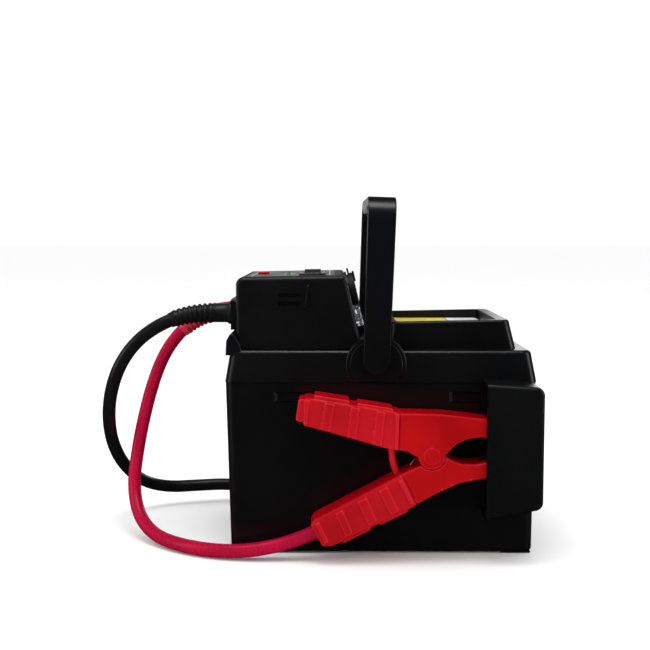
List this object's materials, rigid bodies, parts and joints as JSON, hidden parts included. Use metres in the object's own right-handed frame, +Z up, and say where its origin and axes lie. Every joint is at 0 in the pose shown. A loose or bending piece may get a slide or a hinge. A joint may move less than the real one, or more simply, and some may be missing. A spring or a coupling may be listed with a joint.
{
  "type": "jump starter pack",
  "caption": "Portable box-shaped 12 V jump starter with a bail handle, a control housing on the lid and two short leads whose battery clamps are stored in side pockets.",
  "frame": {"origin": "middle of the case's footprint, on the floor under the feet", "axes": "+X towards the pocket end, away from the cables; +Y to the back, towards the black clamp; +Z up"},
  "size_m": [0.2674, 0.163, 0.2116],
  "materials": {
    "battery_case": "grey moulded case",
    "black_cable": "black cable jacket",
    "black_handle": "fine-textured black plastic",
    "black_plastic": "black plastic",
    "black_shell": "satin black moulded plastic",
    "board": "circuit board",
    "chrome": "polished",
    "clear": "clear moulded lens",
    "component": "electronic parts",
    "copper": "copper-plated",
    "foam": "closed-cell foam",
    "label": "printed film",
    "led": "clear epoxy",
    "overlay": "printed membrane",
    "red_cable": "red cable jacket",
    "red_plastic": "bright red plastic",
    "red_sleeve": "soft red vinyl",
    "rubber_black": "soft black rubber",
    "steel": "bright steel"
  },
  "bodies": {
    "case": {"case_tub": "black_shell", "feet": "rubber_black", "lid_cover": "black_shell", "tray_label": "label", "pivot_washers": "steel", "control_housing": "black_shell", "panel_overlay": "overlay", "rocker_bezel": "black_plastic", "status_leds": "led", "outlet_barrel": "steel", "outlet_bezel": "black_shell", "outlet_insulator": "component", "outlet_contact": "copper", "cap_pin": "steel", "lamp_lens": "clear", "lamp_reflector": "chrome", "lamp_leds": "led", "charge_jack": "component", "circuit_board": "board", "board_components": "component", "main_fuse": "component", "battery": "battery_case", "battery_terminals": "copper", "terminal_lugs": "copper", "foam_pads": "foam", "pocket_screws": "steel", "housing_screws": "steel", "gland_plate": "black_shell", "gland_screws": "steel", "red_pocket": "black_shell", "black_pocket": "black_shell", "red_boot": "red_cable", "black_boot": "black_cable", "red_cable": "red_cable", "black_cable": "black_cable", "red_lead": "red_cable", "black_lead": "black_cable"},
    "handle": {"carry_handle": "black_handle", "pivot_screws": "steel"},
    "outlet_cap": {"outlet_cap": "rubber_black"},
    "test_button": {"test_button": "red_plastic"},
    "rocker": {"rocker_key": "black_plastic"},
    "red_clamp": {"red_lower_jaw": "copper", "red_lower_cover": "red_plastic", "red_lower_grip": "red_sleeve", "red_rivet": "steel", "red_spring": "steel", "red_bridge_wire": "red_cable"},
    "red_clamp_top": {"red_upper_jaw": "copper", "red_upper_cover": "red_plastic", "red_upper_grip": "red_sleeve"},
    "black_clamp": {"black_lower_jaw": "copper", "black_lower_cover": "black_plastic", "black_lower_grip": "black_plastic", "black_rivet": "steel", "black_spring": "steel", "black_bridge_wire": "black_cable"},
    "black_clamp_top": {"black_upper_jaw": "copper", "black_upper_cover": "black_plastic", "black_upper_grip": "black_plastic"}
  },
  "joints": [
    {"name": "handle_swing", "type": "hinge", "parent": "case", "child": "handle", "pos_m": [-0.0028, 0, 0.116], "axis": [0, 1, 0], "range_deg": [-50, 78]},
    {"name": "outlet_cap_hinge", "type": "hinge", "parent": "case", "child": "outlet_cap", "pos_m": [-0.01088, 0.019, 0.13602], "axis": [0, 1, 0], "range_deg": [0, 90]},
    {"name": "test_button_press", "type": "slide", "parent": "case", "child": "test_button", "axis": [0.0171, 0, -0.9999], "range_m": [0, 0.0008], "stiffness_N_per_m": 400, "springref_m": -0.001},
    {"name": "rocker_tip", "type": "hinge", "parent": "case", "child": "rocker", "pos_m": [-0.04048, -0.026, 0.16347], "axis": [0.9999, 0, 0.0171], "range_deg": [0, 16]},
    {"name": "red_clamp_draw", "type": "slide", "parent": "case", "child": "red_clamp", "axis": [-1, 0, 0], "range_m": [0, 0.045], "deforming": ["red_cable"]},
    {"name": "red_clamp_open", "type": "hinge", "parent": "red_clamp", "child": "red_clamp_top", "pos_m": [0.0282, -0.069, 0.0636], "axis": [0, -1, 0], "range_deg": [0, 28], "stiffness_Nm_per_rad": 1, "springref_deg": -40.11, "deforming": ["red_spring", "red_bridge_wire"]},
    {"name": "black_clamp_draw", "type": "slide", "parent": "case", "child": "black_clamp", "axis": [-1, 0, 0], "range_m": [0, 0.045], "deforming": ["black_cable"]},
    {"name": "black_clamp_open", "type": "hinge", "parent": "black_clamp", "child": "black_clamp_top", "pos_m": [0.0282, 0.069, 0.0636], "axis": [0, -1, 0], "range_deg": [0, 28], "stiffness_Nm_per_rad": 1, "springref_deg": -40.11, "deforming": ["black_spring", "black_bridge_wire"]}
  ]
}
